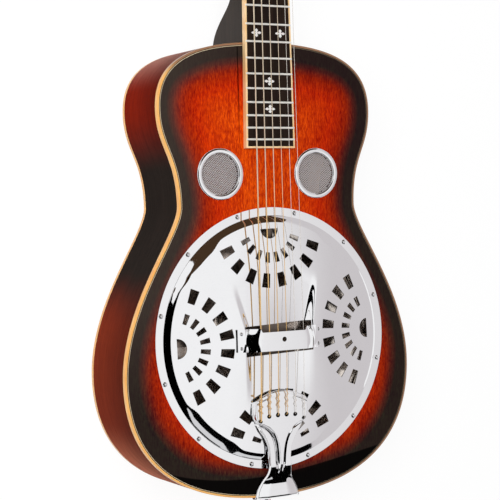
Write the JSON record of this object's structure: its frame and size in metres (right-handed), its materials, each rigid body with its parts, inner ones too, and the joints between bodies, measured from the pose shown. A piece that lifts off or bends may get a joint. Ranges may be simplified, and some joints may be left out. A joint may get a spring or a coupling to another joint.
{
  "type": "resonator guitar",
  "caption": "Square-neck resonator guitar: sunburst wooden body, slotted chrome coverplate over a spun cone and spider bridge, geared tuners.",
  "frame": {"origin": "on the flat of the back, straight under the saddle line", "axes": "+Z out of the face, +Y along the strings towards the headstock, +X towards the treble side"},
  "size_m": [0.3558, 1.0041, 0.115],
  "materials": {
    "burst_top": "gloss lacquered mahogany with a dark sunburst",
    "burst_side": "gloss lacquered dark mahogany",
    "cream_binding": "aged cream celluloid",
    "raw_wood": "unfinished spruce and plywood inside the body",
    "dark_neck": "dark stained mahogany, gloss",
    "rosewood": "oiled rosewood",
    "maple": "bare maple",
    "bone": "polished bone",
    "chrome": "polished chrome plate",
    "spun_aluminium": "spun, with fine circular lines",
    "cast_aluminium": "as cast",
    "screen_wire": "woven wire cloth",
    "steel": "plain drawn steel",
    "bronze_winding": "phosphor bronze winding"
  },
  "bodies": {
    "instrument": {"soundboard": "burst_top", "back_plate": "burst_side", "side_bass": "burst_side", "side_treble": "burst_side", "top_binding": "cream_binding", "back_binding": "cream_binding", "top_lining_bass": "raw_wood", "top_lining_treble": "raw_wood", "back_lining_bass": "raw_wood", "back_lining_treble": "raw_wood", "neck_block": "raw_wood", "tail_block": "raw_wood", "top_brace": "raw_wood", "back_brace": "raw_wood", "soundwell": "raw_wood", "resonator_cone": "spun_aluminium", "spider_bridge": "cast_aluminium", "saddle_bass": "maple", "saddle_treble": "maple", "coverplate": "chrome", "palm_rest": "chrome", "tailpiece": "chrome", "end_pin": "chrome", "screen_ring_bass": "chrome", "screen_ring_treble": "chrome", "screen_mesh_bass": "screen_wire", "screen_mesh_treble": "screen_wire", "neck": "dark_neck", "fretboard": "rosewood", "fretboard_binding": "cream_binding", "headstock_veneer": "rosewood", "nut": "bone", "tuner_housing_bass_1": "chrome", "tuner_housing_bass_2": "chrome", "tuner_housing_bass_3": "chrome", "tuner_housing_treble_1": "chrome", "tuner_housing_treble_2": "chrome", "tuner_housing_treble_3": "chrome", "string_1": "bronze_winding", "string_2": "bronze_winding", "string_3": "bronze_winding", "string_4": "bronze_winding", "string_5": "steel", "string_6": "steel"},
    "tension_screw_body": {"tension_screw": "steel"},
    "button_bass_1": {"tuner_button_bass_1": "chrome"},
    "post_bass_1": {"tuner_post_bass_1": "chrome"},
    "button_bass_2": {"tuner_button_bass_2": "chrome"},
    "post_bass_2": {"tuner_post_bass_2": "chrome"},
    "button_bass_3": {"tuner_button_bass_3": "chrome"},
    "post_bass_3": {"tuner_post_bass_3": "chrome"},
    "button_treble_1": {"tuner_button_treble_1": "chrome"},
    "post_treble_1": {"tuner_post_treble_1": "chrome"},
    "button_treble_2": {"tuner_button_treble_2": "chrome"},
    "post_treble_2": {"tuner_post_treble_2": "chrome"},
    "button_treble_3": {"tuner_button_treble_3": "chrome"},
    "post_treble_3": {"tuner_post_treble_3": "chrome"}
  },
  "joints": [
    {"name": "tension_screw_turn", "type": "hinge", "parent": "instrument", "child": "tension_screw_body", "pos_m": [0, -0.0042, 0.09], "axis": [0, 0, 1], "range_deg": [-180, 180]},
    {"name": "button_bass_1_turn", "type": "hinge", "parent": "instrument", "child": "button_bass_1", "pos_m": [-0.022, 0.66848, 0.05979], "axis": [-1, 0, 0], "continuous": true},
    {"name": "post_bass_1_turn", "type": "hinge", "parent": "instrument", "child": "post_bass_1", "pos_m": [-0.022, 0.68011, 0.07832], "axis": [0, 0.2419, 0.9703], "continuous": true},
    {"name": "button_bass_2_turn", "type": "hinge", "parent": "instrument", "child": "button_bass_2", "pos_m": [-0.022, 0.70923, 0.04963], "axis": [-1, 0, 0], "continuous": true},
    {"name": "post_bass_2_turn", "type": "hinge", "parent": "instrument", "child": "post_bass_2", "pos_m": [-0.022, 0.72086, 0.06816], "axis": [0, 0.2419, 0.9703], "continuous": true},
    {"name": "button_bass_3_turn", "type": "hinge", "parent": "instrument", "child": "button_bass_3", "pos_m": [-0.022, 0.74999, 0.03947], "axis": [-1, 0, 0], "continuous": true},
    {"name": "post_bass_3_turn", "type": "hinge", "parent": "instrument", "child": "post_bass_3", "pos_m": [-0.022, 0.76162, 0.058], "axis": [0, 0.2419, 0.9703], "continuous": true},
    {"name": "button_treble_1_turn", "type": "hinge", "parent": "instrument", "child": "button_treble_1", "pos_m": [0.022, 0.66848, 0.05979], "axis": [1, 0, 0], "continuous": true},
    {"name": "post_treble_1_turn", "type": "hinge", "parent": "instrument", "child": "post_treble_1", "pos_m": [0.022, 0.68011, 0.07832], "axis": [0, 0.2419, 0.9703], "continuous": true},
    {"name": "button_treble_2_turn", "type": "hinge", "parent": "instrument", "child": "button_treble_2", "pos_m": [0.022, 0.70923, 0.04963], "axis": [1, 0, 0], "continuous": true},
    {"name": "post_treble_2_turn", "type": "hinge", "parent": "instrument", "child": "post_treble_2", "pos_m": [0.022, 0.72086, 0.06816], "axis": [0, 0.2419, 0.9703], "continuous": true},
    {"name": "button_treble_3_turn", "type": "hinge", "parent": "instrument", "child": "button_treble_3", "pos_m": [0.022, 0.74999, 0.03947], "axis": [1, 0, 0], "continuous": true},
    {"name": "post_treble_3_turn", "type": "hinge", "parent": "instrument", "child": "post_treble_3", "pos_m": [0.022, 0.76162, 0.058], "axis": [0, 0.2419, 0.9703], "continuous": true}
  ],
  "couplings": [
    {"joint": "post_bass_1_turn", "follows": "button_bass_1_turn", "ratio": 0.071429},
    {"joint": "post_bass_2_turn", "follows": "button_bass_2_turn", "ratio": 0.071429},
    {"joint": "post_bass_3_turn", "follows": "button_bass_3_turn", "ratio": 0.071429},
    {"joint": "post_treble_1_turn", "follows": "button_treble_1_turn", "ratio": -0.071429},
    {"joint": "post_treble_2_turn", "follows": "button_treble_2_turn", "ratio": -0.071429},
    {"joint": "post_treble_3_turn", "follows": "button_treble_3_turn", "ratio": -0.071429}
  ]
}
